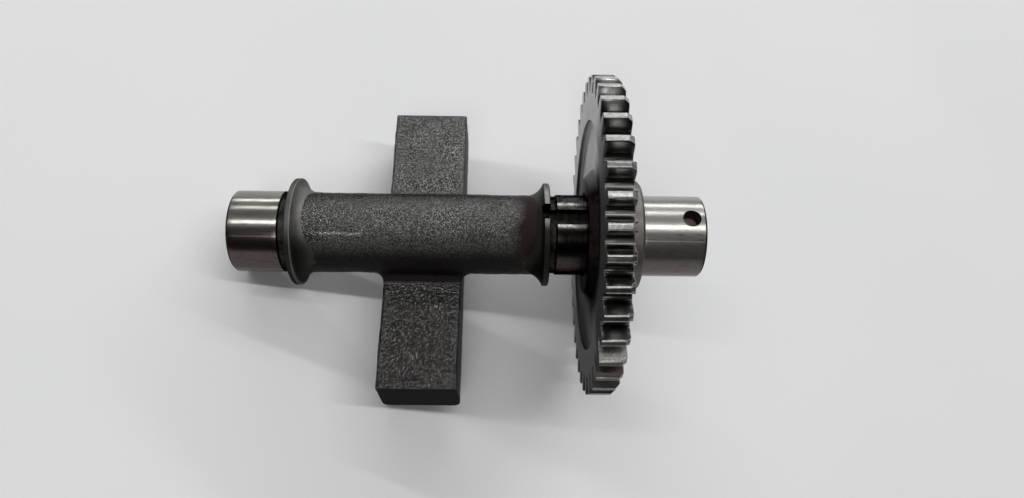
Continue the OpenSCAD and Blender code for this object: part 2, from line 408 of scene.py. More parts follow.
def ground_look():
    """Ground journals: bright, with very fine lines round them; the right one is paler."""
    look = Look("ground_steel")
    at = look.place()
    along, across, up = look.split(at)
    right = look.between(along, 50.0, 70.0)
    lines = look.noise(look.scaled(at, (9.0, 0.05, 0.05)), 1.0, 3.0, 0.7)
    film = look.noise(look.scaled(at, (0.12, 0.35, 0.35)), 1.0, 4.0, 0.6)
    speckle = look.noise(at, 5.0, 2.0, 0.6)
    base = look.tones(film, 0.3, 0.75, grey(0.25, 0.1), grey(0.32, 0.08))
    base = look.mix(look.times(right, 0.7), base, grey(0.5, 0.06))
    base = look.mix(look.between(speckle, 0.35, 0.65, 0.0, 0.3), base, grey(0.1, 0.1))

    # Painted shade: darker and brownish on the near side of each journal, most on the right one's lower
    # part
    left_near_shade = look.times(
        look.between(across, -2.5, -6.0),
        look.between(right, 0.0, 1.0, 0.85, 0.0),
    )
    right_near_shade = look.times(
        right,
        look.between(across, -7.6, -9.0, 0.35, 0.8),
        look.between(across, -3.5, -6.5),
    )
    base = look.mix(look.plus(left_near_shade, right_near_shade), base, JOURNAL_NEAR_SHADE)

    # Scuffs, mostly on the near side
    scuffs = look.noise(look.scaled(at, (0.45, 3.0, 3.0)), 1.0, 1.0, 0.5)
    scuffed = look.between(across, -1.0, -4.0, 0.06, 0.9)
    worn = look.times(look.between(scuffs, 0.63, 0.69), scuffed, 0.8)
    base = look.mix(worn, base, grey(0.03, 0.1))

    # Thin bright line along the journals
    turned = math.radians(BRIGHT_LINE_ANGLE)
    offset = look.varied(look.times(across, math.cos(turned)), up, -math.sin(turned))
    bright_line = look.times(
        look.between(look.off(offset, 0.0), 0.18, 0.06, 0.0, 0.9),
        look.between(up, 0.0, 1.0),
        look.between(right, 0.0, 1.0, 0.4, 1.0),
    )
    base = look.mix(bright_line, base, grey(0.62, 0.05))

    rough = look.varied(look.varied(0.18, right, 0.05), film, 0.06)
    metal = look.varied(1.0, right, -0.12)
    look.surface(Base_Color=base, Metallic=metal, Roughness=rough, Normal=look.bump(lines, 0.01, 0.6))
    look.surface(Specular_Tint=grey(0.9))
    return look.mat


def turned_look():
    """Turned flanges, hollows and end faces: satin, with lines round the shaft."""
    look = Look("turned_steel")
    at = look.place()
    along, across, up = look.split(at)
    radius = look.radius(across, up)
    lines = look.noise(look.scaled(at, (5.0, 0.06, 0.06)), 1.0, 2.0, 0.6)
    film = look.noise(at, 0.35, 4.0, 0.6)
    base = look.tones(film, 0.3, 0.7, grey(0.19, 0.06), grey(0.27, 0.05))
    left_land = look.times(look.between(radius, 12.6, 13.1), look.between(along, 40.0, 20.0, 0.0, 0.65))
    base = look.mix(left_land, base, grey(0.06, 0.1))

    # Oil towards the gear, darker towards the near side as painted shade; the right land's far side is left
    # lighter as painted light, and the shaft's end faces get none
    flange = look.between(radius, RELIEF_R - 0.1, RELIEF_R)
    right_land = look.between(along, RIGHT_FLANGE - LAND - 0.1, RIGHT_FLANGE - LAND + 0.1)
    oil = look.times(look.between(along, 55.0, 72.0), look.between(across, 9.0, 1.0, 0.35, 0.88))
    painted_light = look.times(right_land, look.between(across, -5.0, -1.0, 0.0, 0.85))
    base = look.mix(look.times(flange, look.minus(oil, painted_light)), base, OIL_AND_SHADE_DARK)
    # Painted shade on the near side of the flanges and hollows
    near = look.times(flange, look.between(across, -3.5, -9.0, 0.0, 0.85))
    base = look.mix(near, base, grey(0.02, 0.12))

    # Painted highlight along the edge between the left land and its hollow
    edge = look.between(look.off(along, LEFT_FLANGE + LAND), 0.3, 0.05, 0.0, 0.7)
    base = look.mix(edge, base, grey(0.32, 0.05))

    rough = look.varied(look.between(along, 40.0, 20.0, 0.36, 0.47), film, 0.14)
    # Less metal on the right land's near side, so it reflects less, as painted shade
    dimmed = look.times(
        right_land,
        look.between(across, -2.8, -6.0, 0.0, 0.92),
        look.between(radius, 12.0, 12.4),
    )
    metal = look.minus(1.0, dimmed)
    look.surface(Base_Color=base, Metallic=metal, Roughness=rough, Normal=look.bump(lines, 0.02, 0.6))
    look.surface(Specular_Tint=grey(0.4), Specular_IOR_Level=0.06)
    return look.mat


def seat_look():
    """Gear seat: polished, with worn patches; painted shade makes it darker and brownish on the near side,
    with a black band there.
    """
    look = Look("worn_seat")
    at = look.place()
    across = look.split(at)[1]
    lines = look.noise(look.scaled(at, (4.0, 0.08, 0.08)), 1.0, 2.0, 0.6)
    patches = look.noise(at, 0.6, 4.0, 0.65)
    base = look.tones(patches, 0.35, 0.7, grey(0.06, 0.06), grey(0.2, 0.03))
    # Painted shade: darker and brownish towards the near side, with a black band that hides a lamp's
    # reflection
    base = look.mix(look.between(across, -1.5, -4.0, 0.0, 0.9), base, SEAT_NEAR_SHADE)
    band = look.times(look.between(across, -2.0, -5.5), look.between(across, -8.4, -7.2, 0.0, 0.88))
    base = look.mix(band, base, grey(0.004))
    rough = look.varied(0.14, patches, 0.14)
    look.surface(Base_Color=base, Metallic=1.0, Roughness=rough, Normal=look.bump(lines, 0.02, 0.7))
    look.surface(Specular_Tint=grey(0.2))
    return look.mat


def cut_look():
    """Milled and bored walls and reliefs: dark with an oily brown film."""
    look = Look("cut_steel")
    film = look.noise(look.place(), 0.9, 3.0, 0.6)
    base = look.tones(film, 0.3, 0.7, grey(0.012, 0.16), grey(0.04, 0.08))
    look.surface(Base_Color=base, Metallic=1.0, Roughness=0.42, Normal=look.bump(film, 0.03, 0.5))
    look.surface(Specular_Tint=grey(0.3))
    return look.mat


def hole_look():
    """Oil hole: wall darkened to black as painted shade, over a floor with a brown film."""
    look = Look("oil_hole")
    at = look.place()
    film = look.noise(at, 1.2, 3.0, 0.6)
    height = look.varied(look.split(at)[2], film, 0.4)
    brown = look.tones(film, 0.3, 0.7, HOLE_DARK, HOLE_LIGHT)
    # Painted shade: black up the wall, above the floor
    base = look.tones(height, OIL_HOLE_FLOOR + 0.3, OIL_HOLE_FLOOR + 0.7, brown, grey(0.02, 0.1))
    look.surface(Base_Color=base, Roughness=0.55, Normal=look.bump(film, 0.05, 0.5))
    look.surface(Specular_IOR_Level=0.2)
    return look.mat


def side_look():
    """Gear sides: fine ground satin with faint turning circles, darkened by oil and painted shade, most on
    the inner side.
    """
    look = Look("gear_side")
    at = look.place()
    x, y, z = look.split(at)
    radius = look.radius(y, z)
    circles = look.noise(look.joined(look.times(radius, 3.0)), 1.0, 3.0, 0.6)
    clouds = look.noise(at, 0.14, 4.0, 0.62)
    grain = look.noise(at, 4.0, 2.0, 0.6)
    base = look.tones(clouds, 0.3, 0.72, grey(0.49, 0.004), grey(0.6, 0.002))
    base = look.mix(look.between(grain, 0.35, 0.7, 0.0, 0.4), base, grey(0.38))
    ragged = look.varied(radius, clouds, 6.0)

    # Inner side, painted shade: darker in the recess's corner and its lower part, brownish near the top on
    # the near side, darker over the near half; oil round the middle, darkest on the near side as painted
    # shade
    inner = look.between(x, GEAR_X + 2.6, GEAR_X + 2.0)
    wall = look.between(x, GEAR_X + RECESS_DEPTH, GEAR_X + 0.3)
    corner = look.times(
        look.between(radius, 25.2, 27.6),
        look.between(x, GEAR_X + 0.02, GEAR_X + 0.2),
        look.between(wall, 0.0, 1.0, 0.3, 1.0),
        look.between(z, 6.0, -16.0, 0.55, 0.97),
    )
    lower = look.times(
        look.between(z, -8.0, -22.0),
        look.between(y, 28.0, 15.0),
        look.between(radius, RECESS_R, RECESS_R - 0.3, 0.0, 0.92),
        look.between(wall, 0.0, 1.0, 0.55, 1.0),
    )
    near_top = look.times(look.between(z, 7.0, 14.0), look.between(y, 17.0, 5.0, 0.0, 0.88))
    near = look.between(y, 10.0, -22.0, 0.0, 0.9)
    soaked = look.times(look.between(ragged, 19.0, 27.0, 0.97, 0.0), look.between(y, 13.0, 4.0))
    for share, colour in (
        (corner, grey(0.02, 0.05)),
        (lower, grey(0.03, 0.02)),
        (near_top, SIDE_NEAR_SHADE),
        (near, grey(0.045, 0.02)),
        (soaked, SIDE_SOAK_AND_SHADE),
    ):
        base = look.mix(look.times(inner, share), base, colour)

    # Outer side: darker, with a ring of oil round the hub
    outer = look.minus(1.0, inner)
    ring = look.times(outer, look.between(ragged, 17.5, 24.0, 0.6, 0.0))
    base = look.mix(look.times(outer, 0.6), base, grey(0.28))
    base = look.mix(ring, base, grey(0.06, 0.1))

    # Less metal where oil and painted shade darken the inner side
    oil_and_shade = look.largest(soaked, corner, lower, look.times(near_top, look.between(y, 5.0, -5.0)))
    metal = look.varied(0.95, look.times(inner, oil_and_shade), -0.9)
    rough = look.varied(0.34, circles, 0.14)
    normal = look.bump(look.varied(circles, grain, 0.5), 0.02, 0.6)
    look.surface(Base_Color=base, Metallic=metal, Roughness=rough, Normal=normal)
    look.surface(Specular_Tint=grey(0.75), Specular_IOR_Level=0.0)
    return look.mat


def boss_look():
    """Boss round the bore: brown with oil, lighter on its far side as painted light."""
    look = Look("gear_boss")
    at = look.place()
    film = look.noise(at, 0.5, 3.0, 0.6)
    base = look.tones(film, 0.3, 0.7, BOSS_DARK, BOSS_LIGHT)
    # Painted light: lighter towards the far side
    base = look.tones(look.split(at)[1], 3.0, 14.0, base, grey(0.36))
    look.surface(Base_Color=base, Metallic=1.0, Roughness=0.4, Normal=look.bump(film, 0.04, 0.5))
    look.surface(Specular_Tint=grey(0.2))
    return look.mat


def flank_look():
    """Tooth gaps: smooth and dark, with a painted highlight across the middle of each tooth."""
    look = Look("tooth_flank")
    at = look.place()
    x, y, z = look.split(at)
    radius = look.radius(y, z)
    film = look.noise(at, 0.5, 2.0, 0.5)
    speckle = look.noise(at, 4.2, 2.0, 0.6)
    # Painted highlight: a brighter, polished tone across the middle of each tooth's width and part-way up
    # the flank
    off_middle = look.off(x, (GEAR_X + RIM_END) / 2)
    painted_light = look.times(look.between(off_middle, 2.7, 0.2), look.between(radius, 35.6, 37.2))
    polished = look.tones(film, 0.2, 0.8, grey(0.34, 0.03), grey(0.42, 0.02))
    base = look.mix(painted_light, grey(0.055, 0.06), polished)

    # Painted highlights: paler roots on a few teeth between the keyway's side and the near side
    root = look.times(
        look.between(radius, ROOT_R + 0.3, ROOT_R + 0.1),
        look.between(y, -3.0, -6.0),
        look.between(y, -18.5, -15.5),
    )
    base = look.mix(root, base, grey(0.16, 0.03))

    # Teeth on the near side: dull and speckled, then brown
    dull = look.times(look.between(y, -10.0, -20.0), look.between(z, 16.5, 15.0))
    dusty = look.tones(speckle, 0.38, 0.6, grey(0.13, 0.08), grey(0.34, 0.06))
    base = look.mix(dull, base, dusty)
    brown = look.times(dull, look.between(z, 10.6, 9.4, 0.0, 0.9))
    base = look.mix(brown, base, FLANK_FILM)

    rough = look.varied(0.23, film, 0.06)
    rough = look.varied(look.varied(rough, dull, 0.22), root, 0.1)
    look.surface(Base_Color=base, Metallic=1.0, Roughness=rough, Normal=look.bump(speckle, 0.03, dull))
    return look.mat


def tip_look():
    """Tooth tips: pale spotted satin, darker as painted shade beside the keyway's side and on the near
    side.
    """
    look = Look("tooth_tip")
    at = look.place()
    y = look.split(at)[1]
    film = look.noise(at, 1.1, 4.0, 0.65)
    base = look.tones(film, 0.34, 0.66, grey(0.3, 0.05), grey(0.52, 0.04))
    # Painted shade: darker tips in a band beside the keyway's side and on the near side
    tip_shade_band = look.times(look.between(y, -1.0, -4.0, 0.0, 0.5), look.between(y, -8.6, -6.6))
    oily = look.between(y, -18.6, -20.6, 0.0, 0.9)
    base = look.mix(look.plus(tip_shade_band, oily), base, grey(0.03, 0.08))
    rough = look.varied(0.34, film, 0.12)
    look.surface(Base_Color=base, Metallic=0.9, Roughness=rough, Normal=look.bump(film, 0.04, 0.5))
    return look.mat


def rim_look():
    """Broken edges of the tooth tips: bright and worn."""
    look = Look("tooth_edge")
    film = look.noise(look.place(), 1.6, 3.0, 0.6)
    base = look.tones(film, 0.3, 0.7, grey(0.32, 0.05), grey(0.52, 0.04))
    look.surface(Base_Color=base, Metallic=1.0, Roughness=0.42, Normal=look.bump(film, 0.03, 0.5))
    return look.mat


def hub_look():
    """Outer hub: matte light grey with a fine grain, brownish on its near side."""
    look = Look("gear_hub")
    at = look.place()
    grain = look.noise(at, 2.6, 3.0, 0.6)
    clouds = look.noise(at, 0.3, 3.0, 0.6)
    base = look.tones(clouds, 0.3, 0.7, grey(0.2, 0.06), grey(0.28, 0.06))
    base = look.mix(look.between(grain, 0.4, 0.65, 0.0, 0.55), base, grey(0.07, 0.1))
    base = look.mix(look.between(look.split(at)[1], 3.0, -4.0, 0.0, 0.45), base, HUB_FILM)
    rough = look.varied(0.4, grain, 0.16)
    look.surface(Base_Color=base, Metallic=0.85, Roughness=rough, Normal=look.bump(grain, 0.04, 0.6))
    look.surface(Specular_Tint=grey(0.5))
    return look.mat


def key_look():
    """Drawn key steel with lines along it."""
    look = Look("key_steel")
    at = look.node("ShaderNodeTexCoord").outputs["Object"]
    lines = look.noise(look.scaled(at, (60.0, 3000.0, 3000.0)), 1.0, 2.0, 0.6)
    base = look.tones(lines, 0.3, 0.7, grey(0.34, 0.01), grey(0.46, 0.01))
    look.surface(Base_Color=base, Metallic=1.0, Roughness=0.32, Normal=look.bump(lines, 0.01, 0.4))
    return look.mat


def floor_look():
    """Pale smooth sheet with a barely visible grain."""
    look = Look("pale_floor")
    at = look.node("ShaderNodeTexCoord").outputs["Object"]
    grain = look.noise(at, 900.0, 2.0, 0.5)
    clouds = look.noise(at, 6.0, 2.0, 0.5)
    base = look.tones(clouds, 0.3, 0.7, FLOOR_DARK, FLOOR_LIGHT)
    look.surface(Base_Color=base, Roughness=0.85, Normal=look.bump(grain, 0.15, 0.3))
    look.surface(Specular_IOR_Level=0.2)
    return look.mat


# Meshes

def mesh_of(name, verts, faces, tags):
    """A mesh whose faces take their materials from their tags."""
    mesh = bpy.data.meshes.new(name)
    mesh.from_pydata(verts, [], faces)
    mesh.polygons.foreach_set("material_index", tags)
    mesh.update()
    return mesh


def eased(points, steps=4, most=0.45):
    """Profile whose corners are rounded, each by its own radius, using at most a share of a stretch.

    A point is (x, r, radius of the corner, tag of the stretch that follows).
    """
    line, tags = [], []
    for i, (x, r, radius, tag) in enumerate(points):
        here = np.array((x, r))
        if radius == 0:
            line.append(here)
            tags.append(tag)
            continue
        back = np.array(points[i - 1][:2]) - here
        ahead = np.array(points[i + 1][:2]) - here
        back_len, ahead_len = np.linalg.norm(back), np.linalg.norm(ahead)
        back, ahead = back / back_len, ahead / ahead_len
        half = math.acos(np.clip(back @ ahead, -1, 1)) / 2
        reach = min(radius / math.tan(half), most * min(back_len, ahead_len))
        radius = reach * math.tan(half)
        inward = (back + ahead) / np.linalg.norm(back + ahead)
        centre = here + inward * (radius / math.sin(half))
        first, last = here + back * reach - centre, here + ahead * reach - centre
        start = math.atan2(first[1], first[0])
        sweep = (math.atan2(last[1], last[0]) - start + math.pi) % (2 * math.pi) - math.pi
        for s in range(steps + 1):
            a = start + sweep * s / steps
            line.append(centre + radius * np.array((math.cos(a), math.sin(a))))
            tags.append(points[i - 1][3] if s < steps // 2 else tag)
    return line, tags


def hollow(centre, radius, first, last, tag, steps=14):
    """Profile points on a turned hollow, from one angle to the other."""
    x, r = centre
    angles = np.linspace(first, last, steps + 1)
    return [(x + radius * math.cos(a), r + radius * math.sin(a), 0, tag) for a in angles]


def refined(line, tags, longest):
    """The same profile with its long steps divided."""
    out, out_tags = [], []
    for a, b, tag in zip(line, line[1:], tags):
        parts = max(1, math.ceil(np.linalg.norm(b - a) / longest))
        out += [a + (b - a) * k / parts for k in range(parts)]
        out_tags += [tag] * parts
    return out + [line[-1]], out_tags


def lathe(name, line, tags, turns):
    """Closed turned mesh about the shaft axis; the profile starts and ends on the axis."""
    angle = np.arange(turns) * 2 * math.pi / turns
    rings = [np.c_[np.full(turns, x), r * np.sin(angle), r * np.cos(angle)] for x, r in line[1:-1]]
    verts = np.vstack(rings + [[(line[0][0], 0, 0)], [(line[-1][0], 0, 0)]])
    count = len(rings)
    faces, face_tags = [], []
    for j in range(turns):
        n = (j + 1) % turns
        faces.append((count * turns, j, n))
        face_tags.append(tags[0])
        for k in range(count - 1):
            faces.append((k * turns + j, (k + 1) * turns + j, (k + 1) * turns + n, k * turns + n))
            face_tags.append(tags[k + 1])
        faces.append((count * turns + 1, (count - 1) * turns + n, (count - 1) * turns + j))
        face_tags.append(tags[-1])
    return mesh_of(name, verts.tolist(), faces, face_tags)


def box_mesh(name, low, high, tag):
    """A box from its lowest to its highest corner."""
    (x0, y0, z0), (x1, y1, z1) = low, high
    verts = [(x, y, z) for x in (x0, x1) for y in (y0, y1) for z in (z0, z1)]
    faces = [(0, 1, 3, 2), (4, 6, 7, 5), (0, 4, 5, 1), (2, 3, 7, 6), (0, 2, 6, 4), (1, 5, 7, 3)]
    return mesh_of(name, verts, faces, [tag] * 6)


def temporary(mesh, materials=()):
    """An object that only carries a mesh through a modifier."""
    obj = bpy.data.objects.new(mesh.name, mesh)
    bpy.context.scene.collection.objects.link(obj)
    if not mesh.materials:
        for material in materials:
            mesh.materials.append(material)
    return obj


def applied(obj):
    """Mesh of an object after its modifiers."""
    graph = bpy.context.evaluated_depsgraph_get()
    return bpy.data.meshes.new_from_object(obj.evaluated_get(graph))


def combined(base, others, operation, materials):
    """One mesh from a base and other meshes."""
    carrier = temporary(base, materials)
    helpers = [temporary(other, materials) for other in others]
    for helper in helpers:
        step = carrier.modifiers.new("combine", "BOOLEAN")
        step.solver = "MANIFOLD"
        step.operation = operation
        step.object = helper
    mesh = applied(carrier)
    for obj in [carrier] + helpers:
        bpy.data.objects.remove(obj)
    return mesh


def positions(mesh):
    """Vertices of a mesh as rows."""
    out = np.empty(len(mesh.vertices) * 3)
    mesh.vertices.foreach_get("co", out)
    return out.reshape(-1, 3)


# Cast body and bar

def rounded(a, b, edge):
    """Distance to two faces that meet in a round edge, from the distances to the two."""
    a, b = a + edge, b + edge
    return np.hypot(np.maximum(a, 0), np.maximum(b, 0)) + np.minimum(np.maximum(a, b), 0) - edge


def body_distance(x, y, z):
    """Distance to the cast body: a rod whose section narrows to a crown towards the keyway."""
    side = np.abs(y - BODY_LEAN)
    fall = (BODY_UPPER_R - BODY_CROWN_R) / BODY_CROWN_Z
    level = math.sqrt(1 - fall * fall)
    along = level * z - fall * side
    flank = np.hypot(side, z) - BODY_UPPER_R
    flat = level * side + fall * z - BODY_UPPER_R
    crown = np.hypot(side, z - BODY_CROWN_Z) - BODY_CROWN_R
    upper = np.where(along > level * BODY_CROWN_Z, crown, flat)
    upper = np.where(along < 0, flank, upper)
    lower = np.hypot(y, z - BODY_LOWER_Z) - BODY_LOWER_R
    middle = (LEFT_FLANGE + RIGHT_FLANGE) / 2
    half_len = (RIGHT_FLANGE - LEFT_FLANGE) / 2
    ends = np.abs(x - middle) - half_len + LAND + CAST_INSET
    return np.maximum(np.minimum(upper, lower), ends)


def bar_half_width(z):
    """Half the bar's width, which its draft widens down to mid-height."""
    return BAR_W / 2 + BAR_DRAFT * np.clip((BAR_TOP - z) / (BAR_T / 2), 0, 1)


def bar_distance(x, y, z):
    """Distance to the counterweight bar."""
    mid_z = BAR_TOP - BAR_T / 2
    edge = np.where(z < mid_z, BAR_LOW_EDGE, BAR_TOP_EDGE)
    section = rounded(np.abs(x - BAR_X) - bar_half_width(z), np.abs(z - mid_z) - BAR_T / 2, edge)
    return rounded(section, np.abs(y) - BAR_LEN / 2, BAR_END_EDGE)


def cast_distance(p):
    """Distance to the cast skin, with fillets where the body comes out of the bar."""
    x, y, z = p.T
    body = body_distance(x, y, z)
    bar = bar_distance(x, y, z)
    past_side = np.abs(x - BAR_X) - bar_half_width(z)
    at_side = np.clip((past_side + FILLET_SPREAD) / FILLET_SPREAD, 0, 1)
    fillet = CAST_TOP_FILLET + (CAST_FILLET - CAST_TOP_FILLET) * at_side
    nearest = np.maximum(fillet, np.minimum(body, bar))
    return nearest - np.hypot(np.maximum(fillet - body, 0), np.maximum(fillet - bar, 0))


def slope(field, p, step=0.02):
    """How a field rises along each axis at the given points."""
    out = np.empty_like(p)
    for k in range(3):
        d = np.zeros(3)
        d[k] = step
        out[:, k] = (field(p + d) - field(p - d)) / (2 * step)
    return out


def cast_relief(p):
    """Height of the cast skin's unevenness in millimetres: long waves, dents and grain."""
    out = np.empty(len(p))
    for i, point in enumerate(p):
        v = Vector(point)
        out[i] = sum(height * noise.noise(v * pace + Vector(shift)) for height, pace, shift in SKIN_WAVES)
    return out


def cast_mesh():
    """Body and bar as voxels that are drawn onto the cast skin and roughened; the bar's ends stay flat."""
    bar_low = (BAR_X - BAR_W / 2, -BAR_LEN / 2, BAR_TOP - BAR_T)
    bar_high = (BAR_X + BAR_W / 2, BAR_LEN / 2, BAR_TOP)
    bar = box_mesh("bar", bar_low, bar_high, CAST)
    first, last = LEFT_FLANGE + START_INSET, RIGHT_FLANGE - START_INSET
    top = BODY_CROWN_R + BODY_CROWN_Z
    line = [(first, 0), (first, top), (last, top), (last, 0)]
    body = lathe("body", line, [CAST] * 3, BODY_TURNS)
    carrier = temporary(combined(bar, [body], "UNION", []))
    step = carrier.modifiers.new("voxels", "REMESH")
    step.mode = "VOXEL"
    step.voxel_size = CAST_VOXEL
    mesh = applied(carrier)
    bpy.data.objects.remove(carrier)
    p = positions(mesh)
    for _ in range(CAST_PASSES):
        g = slope(cast_distance, p)
        p = p - g * (cast_distance(p) / np.maximum((g * g).sum(1), LEAST_SLOPE))[:, None]
    normal = slope(cast_distance, p)
    normal /= np.maximum(np.linalg.norm(normal, axis=1), 1e-6)[:, None]
    faces_end = np.clip((np.abs(normal[:, 1]) - BAR_END_FACING) / BAR_END_BLEND, 0, 1)
    ends = faces_end * (np.abs(p[:, 1]) > BAR_LEN / 2 - BAR_END_ZONE)
    p = p + normal * (cast_relief(p) * (1 - ends))[:, None]
    p[:, 1] = np.clip(p[:, 1], -BAR_LEN / 2, BAR_LEN / 2)
    mesh.vertices.foreach_set("co", p.ravel())
    mesh.update()
    return mesh


# Turned shaft

def shaft_mesh(materials):
    """The whole shaft: turned, cut for the key and the oil hole, and joined with the cast body and bar."""
    flare_r = BODY_R + FLARE_R
    left_reach = math.sqrt(FLARE_R ** 2 - (flare_r - LEFT_FLANGE_R) ** 2)
    right_reach = math.sqrt(FLARE_R ** 2 - (flare_r - RIGHT_FLANGE_R) ** 2)
    left_flare = LEFT_FLANGE + LAND + left_reach
    right_flare = RIGHT_FLANGE - LAND - right_reach
    left_from = math.atan2(LEFT_FLANGE_R - flare_r, -left_reach)
    right_to = math.atan2(RIGHT_FLANGE_R - flare_r, right_reach)
    points = [
        (0, 0, 0, TURNED),
        (0, JOURNAL_R - END_CHAMFER, 0.08, CUT),
        (END_CHAMFER, JOURNAL_R, 0.12, GROUND),
        (LEFT_JOURNAL_END, JOURNAL_R, 0.08, CUT),
        (LEFT_JOURNAL_END + RELIEF_STEP, RELIEF_R, 0.25, CUT),
        (LEFT_FLANGE, RELIEF_R, 0.35, CUT),
        (LEFT_FLANGE, LEFT_FLANGE_R - FLANGE_CHAMFER, 0.1, TURNED),
        (LEFT_FLANGE + FLANGE_CHAMFER, LEFT_FLANGE_R, 0.2, TURNED),
        *hollow((left_flare, flare_r), FLARE_R, left_from + 2 * math.pi, 1.5 * math.pi, TURNED),
        (left_flare + SKIN_LAP, BODY_R - SKIN_DIP, 0, TURNED),
        (left_flare + CORE_LAP, CORE_R, 0, TURNED),
        (right_flare - CORE_LAP, CORE_R, 0, TURNED),
        (right_flare - SKIN_LAP, BODY_R - SKIN_DIP, 0, TURNED),
        *hollow((right_flare, flare_r), FLARE_R, -0.5 * math.pi, right_to, TURNED),
        (RIGHT_FLANGE - FLANGE_CHAMFER, RIGHT_FLANGE_R, 0.2, TURNED),
        (RIGHT_FLANGE, RIGHT_FLANGE_R - FLANGE_CHAMFER, 0.1, TURNED),
        (RIGHT_FLANGE, RELIEF_R, 0.3, CUT),
        (SEAT - RELIEF_STEP, RELIEF_R, 0.2, CUT),
        (SEAT, JOURNAL_R, 0.1, WORN),
        (SEAT_END, JOURNAL_R, 0.1, TURNED),
        (SEAT_END + RELIEF_STEP, RELIEF_R, 0.1, TURNED),
        (HUB_END - RELIEF_STEP, RELIEF_R, 0.1, TURNED),
        (HUB_END, JOURNAL_R, 0.08, GROUND),
        (SHAFT_LEN - END_CHAMFER, JOURNAL_R, 0.12, CUT),
        (SHAFT_LEN, JOURNAL_R - END_CHAMFER, 0.08, TURNED),
        (SHAFT_LEN, 0, 0, TURNED),
    ]
    line, tags = refined(*eased(points), SHAFT_STEP)
    turned = lathe("turned", line, tags, SHAFT_TURNS)
    keyway_low = (KEYWAY_START, -KEYWAY_W / 2, KEYWAY_FLOOR)
    keyway_high = (KEYWAY_END, KEYWAY_W / 2, KEYWAY_OPEN)
    keyway = box_mesh("keyway", keyway_low, keyway_high, CUT)
    mouth = JOURNAL_R + 1
    hole_line = [(OIL_HOLE_FLOOR, 0), (OIL_HOLE_FLOOR, OIL_HOLE_R), (mouth, OIL_HOLE_R), (mouth, 0)]
    hole = lathe("oil_hole", hole_line, [HOLE] * 3, HOLE_TURNS)
    hole.transform(Matrix.Translation((OIL_HOLE_X, 0, 0)) @ Matrix.Rotation(-math.pi / 2, 4, "Y"))
    cut = combined(turned, [keyway, hole], "DIFFERENCE", materials)
    mesh = combined(cut, [cast_mesh()], "UNION", materials)
    for face in mesh.polygons:
        if abs(face.center.y) > BAR_LEN / 2 - BAR_END_DEPTH:
            face.material_index = END
    return mesh


# Gear

def tooth_outline():
    """Outline of the teeth as radii and angles, with the surface of each step; a gap lies at the top.

    Half a gap is a round root, an involute flank, a broken edge and half of the flat tip.
    """
    base_r = PITCH_R * math.cos(PRESSURE)
    pitch = 2 * math.pi / TEETH

    def involute(a):
        return math.tan(a) - a

    def half_gap(r):
        half_tooth = TOOTH_T / PITCH_R / 2 + involute(PRESSURE) - involute(math.acos(base_r / r))
        return pitch / 2 - half_tooth

    form_r = max(base_r, ROOT_R + ROOT_HEIGHT)
    form_x = form_r * math.cos(half_gap(form_r))
    form_y = form_r * math.sin(half_gap(form_r))
    root_c = (form_r ** 2 - ROOT_R ** 2) / (2 * (form_x - ROOT_R))
    root_r = root_c - ROOT_R
    reach = math.atan2(form_y, root_c - form_x)
    half = []
    for t in np.linspace(0, 1, ROOT_POINTS):
        a = reach * t
        px, py = root_c - root_r * math.cos(a), root_r * math.sin(a)
        half.append((math.hypot(px, py), math.atan2(py, px), FLANK))
    for r in np.linspace(form_r, TIP_R - TIP_EDGE, FLANK_POINTS)[1:]:
        half.append((r, half_gap(r), FLANK))
    half[-1] = half[-1][:2] + (RIM,)
    corner = half_gap(TIP_R) + TIP_EDGE / TIP_R
    bulge = (TIP_R - EDGE_ROUND * TIP_EDGE, corner - (1 - EDGE_ROUND) * TIP_EDGE / TIP_R)
    half.append((*bulge, RIM))
    half.append((TIP_R, corner, TIP))
    half.append((TIP_R, (corner + pitch / 2) / 2, TIP))
    kinds = [kind for _, _, kind in half]
    steps = []
    for tooth in range(TEETH):
        turn = tooth * pitch
        for k in range(len(half) - 1, 0, -1):
            steps.append((half[k][0], turn - half[k][1], kinds[k - 1]))
        for k in range(len(half)):
            steps.append((half[k][0], turn + half[k][1], kinds[k]))
        steps.append((TIP_R, turn + pitch / 2, TIP))
    radii, angles, surfaces = zip(*steps)
    return np.array(radii), np.array(angles), surfaces


def inner_side():
    """Profile from the bore over the boss and the round recess to the feet of the teeth."""
    recess_c = RECESS_R - RECESS_DEPTH
    web_x = GEAR_X + RECESS_DEPTH
    return [
        (BOSS_X + HUB_BREAK + BORE_LAND, BORE_R, 0, BORE),
        (BOSS_X + HUB_BREAK, BORE_R, 0.1, BORE),
        (BOSS_X, BORE_R + HUB_BREAK, 0.1, BOSS),
        (BOSS_X, BOSS_R, 0.35, BOSS),
        (web_x, BOSS_FOOT_R, 0.8, SIDE),
        (web_x, recess_c - 0.05, 0, SIDE),
        *hollow((GEAR_X, recess_c), RECESS_DEPTH, 0, 0.5 * math.pi - 0.06, SIDE, WALL_STEPS),
        (GEAR_X + 0.06, RECESS_R + 0.01, 0, SIDE),
        (GEAR_X + 0.015, RECESS_R + 0.05, 0, SIDE),
        (GEAR_X, RECESS_R + 0.14, 0, SIDE),
        (GEAR_X, ROOT_R - 1.2, 0, SIDE),
        (GEAR_X, ROOT_R - 1.0, 0, SIDE),
    ]


def outer_side():
    """Profile from the feet of the teeth over the plain web and the hub to the bore."""
    return [
        (RIM_END, ROOT_R - 0.5, 0, SIDE),
        (RIM_END, ROOT_R - 1.0, 0, SIDE),
        (RIM_END, HUB_R, HUB_FILLET, HUB),
        (HUB_END - HUB_BREAK, HUB_R, 0.15, HUB),
        (HUB_END, HUB_R - HUB_BREAK, 0.15, HUB),
        (HUB_END, BORE_R + HUB_BREAK, 0.1, BORE),
        (HUB_END - HUB_BREAK, BORE_R, 0.1, BORE),
        (HUB_END - HUB_BREAK - BORE_LAND, BORE_R, 0, BORE),
    ]


